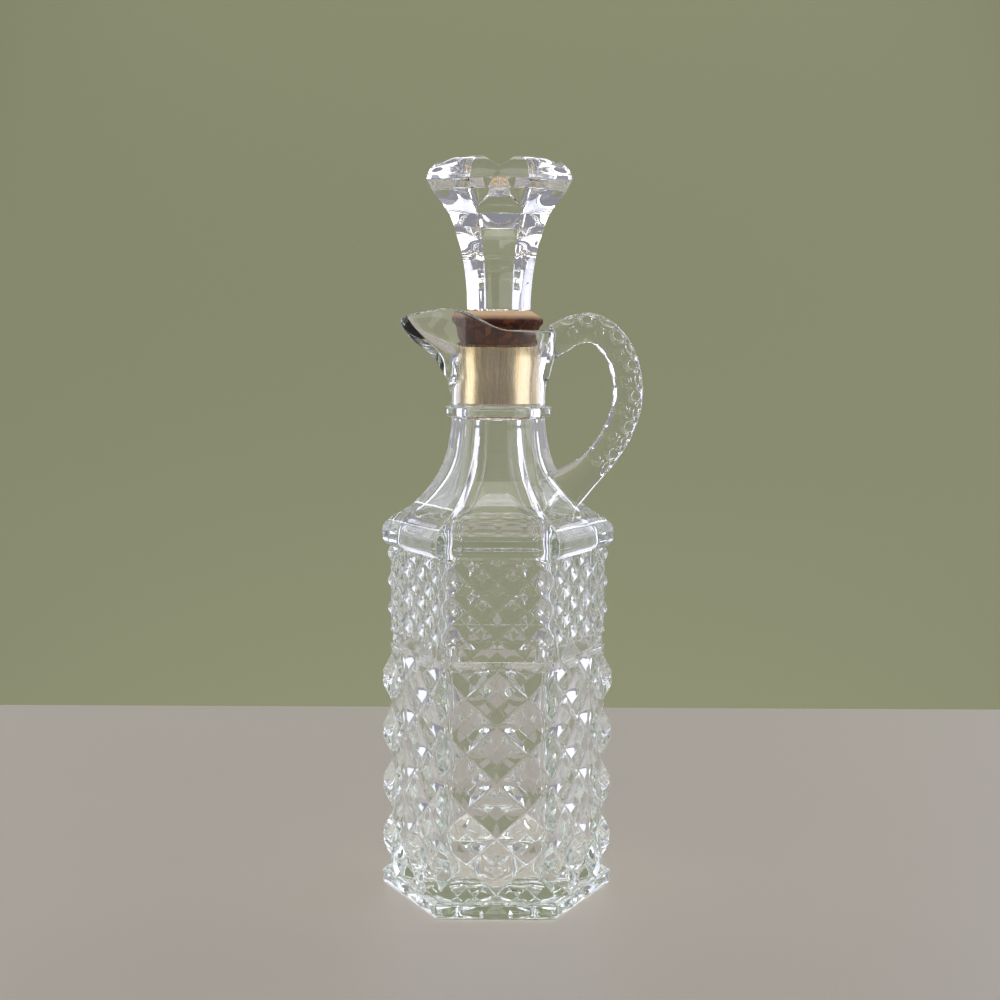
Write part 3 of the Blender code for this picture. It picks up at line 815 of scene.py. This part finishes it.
def make_cruet(polar, prints, glass):
    body = make_core()
    pieces = new_group("glass_pieces")
    make_foot(pieces)
    make_band("lower_band", LOWER_BAND, polar, pieces)
    make_band("upper_band", UPPER_BAND, polar, pieces)
    make_ring_and_collar(pieces)
    make_handle(prints, pieces)
    boolean(body, "UNION", pieces)
    cutters = new_group("glass_cutters")
    make_hollow(cutters)
    make_star(polar, cutters)
    boolean(body, "DIFFERENCE", cutters)
    body.data.materials.clear()
    body.data.materials.append(glass)
    smooth_shading(body, GLASS_EDGE)
    return body


# Stopper

PANEL_TURNS = (
    0.0, 3.0, 6.0, 9.0, 11.0, 12.5, 13.7, 14.7, 15.7, 17.0, 19.0, 21.5, 24.0, 26.5, 28.2, 29.2, 29.7,
)
STOPPER_TURNS = [
    math.radians(60 * side + turn)
    for side in range(SIDES)
    for turn in [*PANEL_TURNS, 30.0, *(60 - turn for turn in reversed(PANEL_TURNS[1:]))]
]


def stopper_ring(flat, height):
    """A six-sided ring with faintly hollow panels; its corners look towards 30 degrees and on.

    Over the crown, V notches run straight from corner to corner and leave six lobes.
    """
    ring = []
    for turn in STOPPER_TURNS:
        near = abs(math.remainder(turn, math.pi / 3))
        hollow = 0.5 + 0.5 * math.cos(SIDES * near)
        beside = (math.pi / SIDES - near) * flat / STOPPER_CORNER / CORNER_SPREAD
        rounded = STOPPER_CORNER * math.exp(-beside ** 2) * CORNER_CUT
        radius = flat / math.cos(near) * (1 - PANEL_HOLLOW * hollow) - rounded
        away = math.hypot(radius * math.sin(math.pi / SIDES - near), NOTCH_ROUND) - NOTCH_ROUND
        notch = CROWN_HEIGHT - NOTCH_DEPTH * (1 - away / (NOTCH_WIDTH / 2))
        top = soft_min(height, notch, NOTCH_SOFT)
        ring.append((radius * math.cos(turn), radius * math.sin(turn), top))
    return ring


def make_stopper(glass):
    plug = [
        (6.4, 150.5), (7.4, 150.8), (7.8, 151.9), (7.9, 158.0), (8.1, 167.0), (8.4, STOPPER_SEAT - 0.3),
    ]
    stem = spline([
        (9.2, STOPPER_SEAT + 0.1), (9.3, 176.6), (9.35, 179.0), (9.6, 183.0), (10.1, 187.4), (11.0, 192.6),
        (12.2, 196.6), (13.1, 199.8), (14.3, 203.0),
    ], STOPPER_STEPS)
    flare = [(14.3, 203.0), (14.5, 203.3), (17.0, 206.9), (19.0, 209.8), (20.5, 211.9)]
    crown = spline([
        (20.5, 211.9), (20.8, 212.6), (20.75, 213.2), (20.5, 214.2), (19.6, 216.3), (18.2, 218.2),
        (17.2, 218.95), (16.2, CROWN_HEIGHT - 0.03), (15.0, CROWN_HEIGHT),
    ], STOPPER_STEPS)
    top = [(14.2 - 0.8 * step, CROWN_HEIGHT) for step in range(17)]
    rings = [
        [(tip * math.cos(turn), tip * math.sin(turn), height) for turn in STOPPER_TURNS]
        for tip, height in plug
    ]
    rings += [stopper_ring(*row) for row in [*stem, *flare[1:-1], *crown, *top]]
    stopper = loft("stopper_glass", rings)
    stopper.data.materials.append(glass)
    smooth_shading(stopper, GLASS_EDGE)
    return stopper


# Cork and sleeve

def turned_ring(name, profile, material):
    """A round piece turned from a closed profile, whose last point is its first."""
    shape = bmesh.new()
    turns = [2 * math.pi * i / TURNED_COLUMNS for i in range(TURNED_COLUMNS)]
    rows = [
        [shape.verts.new((radius * math.cos(turn), radius * math.sin(turn), z)) for turn in turns]
        for radius, z in profile[:-1]
    ]
    for low, high in zip(rows, [*rows[1:], rows[0]]):
        bridge(shape, low, high)
    item = object_from_bmesh(name, shape)
    item.data.materials.append(material)
    smooth_shading(item, TURNED_EDGE)
    return item


def make_cork(material):
    profile = soften([
        (CORK_BORE, 170.0), (CORK_BORE, CORK_BOTTOM), (11.0, CORK_BOTTOM), (11.6, 167.5), (11.95, 170.5),
        (12.4, 171.3), (13.1, 171.9), (13.2, 173.0), (12.4, 173.8), (9.6, CORK_TOP), (CORK_BORE, CORK_TOP),
        (CORK_BORE, 170.0),
    ], 0.35)
    return turned_ring("cork_ring", profile, material)


def make_sleeve(material):
    inner = SLEEVE_RADIUS - SLEEVE_WALL
    profile = soften([
        (inner, 155.0), (inner, SLEEVE_BOTTOM), (SLEEVE_RADIUS, SLEEVE_BOTTOM),
        (SLEEVE_RADIUS, SLEEVE_TOP), (inner, SLEEVE_TOP), (inner, 155.0),
    ], 0.15)
    return turned_ring("metal_sleeve", profile, material)


# Floor, backdrop, light and camera

def make_panel(name, corners, material):
    mesh = bpy.data.meshes.new(name)
    mesh.from_pydata(corners, [], [tuple(range(len(corners)))])
    mesh.materials.append(material)
    panel = bpy.data.objects.new(name, mesh)
    bpy.context.scene.collection.objects.link(panel)


def make_light(name, size, energy, place, target, colour):
    data = bpy.data.lights.new(name, "AREA")
    data.shape = "RECTANGLE"
    data.size, data.size_y = size
    data.energy = energy
    data.color = linear(colour)[:3]
    light = bpy.data.objects.new(name, data)
    light.location = place
    light.rotation_euler = (Vector(target) - Vector(place)).to_track_quat("-Z", "Y").to_euler()
    bpy.context.scene.collection.objects.link(light)


def make_stage():
    floor_corners = [
        (-FLOOR_REACH, -FLOOR_REACH, FLOOR), (FLOOR_REACH, -FLOOR_REACH, FLOOR),
        (FLOOR_REACH, FLOOR_BACK, FLOOR), (-FLOOR_REACH, FLOOR_BACK, FLOOR),
    ]
    make_panel("floor", floor_corners, plain_paint("pale_matt_floor", "#b1aba1", 0.5))
    backdrop_corners = [
        (-BACKDROP_REACH, BACKDROP_PLACE, BACKDROP_BOTTOM),
        (BACKDROP_REACH, BACKDROP_PLACE, BACKDROP_BOTTOM),
        (BACKDROP_REACH, BACKDROP_PLACE, BACKDROP_TOP),
        (-BACKDROP_REACH, BACKDROP_PLACE, BACKDROP_TOP),
    ]
    make_panel("backdrop", backdrop_corners, plain_paint("matt_backdrop", "#8c8f6e", 0.9))
    world = bpy.data.worlds.new("soft_surround")
    world.use_nodes = True
    background = world.node_tree.nodes["Background"]
    background.inputs["Color"].default_value = linear("#dcdcea")
    background.inputs["Strength"].default_value = SURROUND_STRENGTH
    bpy.context.scene.world = world
    for light in LIGHTS:
        make_light(*light)
    bpy.context.scene.view_settings.view_transform = "Standard"


def make_camera():
    data = bpy.data.cameras.new("camera")
    data.sensor_width = SENSOR_WIDTH
    data.lens = SENSOR_WIDTH * FOCAL_LENGTH / IMAGE_WIDTH
    data.clip_start = 0.01
    camera = bpy.data.objects.new("camera", data)
    camera.location = CAMERA_PLACE
    camera.rotation_euler = (math.radians(90 - CAMERA_PITCH), 0.0, 0.0)
    camera.matrix_world = camera.matrix_basis @ Matrix.Rotation(math.radians(CAMERA_ROLL), 4, "Z")
    bpy.context.scene.collection.objects.link(camera)
    bpy.context.scene.camera = camera


polar = polar_tree()
prints = thumbprint_tree()
body_glass = pressed_glass("pressed_soda_lime_glass", "#c9e6d2", 5.0)
stopper_glass = pressed_glass("pressed_clear_glass", "#e4ecf0", 3.0)
cruet = make_cruet(polar, prints, body_glass)
stopper = make_stopper(stopper_glass)
cork = make_cork(stained_cork())
sleeve = make_sleeve(satin_sheet_metal())
for piece, node, slot in (
    (cruet, "cruet", "body_glass"), (stopper, "stopper", "stopper_glass"),
    (cork, "cork", "cork"), (sleeve, "sleeve", "sleeve_metal"),
):
    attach(piece, "root")
    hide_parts(node)
for piece in (cruet, stopper):
    piece.visible_shadow = False
make_stage()
make_camera()

render = bpy.context.scene.cycles
render.max_bounces = GLASS_BOUNCES
render.transmission_bounces = GLASS_BOUNCES
render.glossy_bounces = GLOSSY_BOUNCES
render.diffuse_bounces = DIFFUSE_BOUNCES
